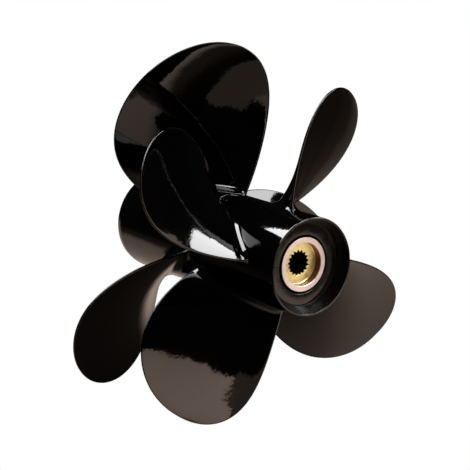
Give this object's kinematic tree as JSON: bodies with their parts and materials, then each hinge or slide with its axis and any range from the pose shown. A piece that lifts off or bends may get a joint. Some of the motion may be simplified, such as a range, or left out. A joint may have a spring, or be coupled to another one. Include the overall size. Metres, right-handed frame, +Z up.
{
  "type": "counter-rotating twin ship propeller",
  "caption": "Counter-rotating propeller pair on one shaft line: a larger front propeller and a smaller aft one, black enamelled castings with splined brass sleeves.",
  "frame": {"origin": "on the shaft line at the forward thrust face of the front propeller's sleeve", "axes": "+Y forward along the shaft, +X to starboard, +Z up; the aft propeller lies towards -Y"},
  "size_m": [0.3695, 0.262, 0.3629],
  "materials": {
    "gloss_black_enamel": "high-gloss black enamel over an aluminium casting, faint orange peel",
    "black_cast_core": "satin black paint over the as-cast inside of the hub",
    "sleeve_brass": "machined brass with fine turning marks",
    "bush_rubber": "matt black rubber"
  },
  "bodies": {
    "front_propeller": {"front_hub_shell": "gloss_black_enamel", "front_blade_1": "gloss_black_enamel", "front_blade_2": "gloss_black_enamel", "front_blade_3": "gloss_black_enamel", "front_inner_barrel": "black_cast_core", "front_hub_web_1": "black_cast_core", "front_hub_web_2": "black_cast_core", "front_hub_web_3": "black_cast_core", "front_rubber_bush": "bush_rubber", "front_splined_sleeve": "sleeve_brass"},
    "aft_propeller": {"aft_hub_shell": "gloss_black_enamel", "aft_blade_1": "gloss_black_enamel", "aft_blade_2": "gloss_black_enamel", "aft_blade_3": "gloss_black_enamel", "aft_blade_4": "gloss_black_enamel", "aft_end_disc": "black_cast_core", "aft_inner_barrel": "black_cast_core", "aft_hub_web_1": "black_cast_core", "aft_hub_web_2": "black_cast_core", "aft_hub_web_3": "black_cast_core", "aft_hub_web_4": "black_cast_core", "aft_rubber_bush": "bush_rubber", "aft_splined_sleeve": "sleeve_brass"}
  },
  "joints": [
    {"name": "aft_propeller_spin", "type": "hinge", "parent": "front_propeller", "child": "aft_propeller", "pos_m": [0, -0.18, 0], "axis": [0, 1, 0], "continuous": true}
  ]
}
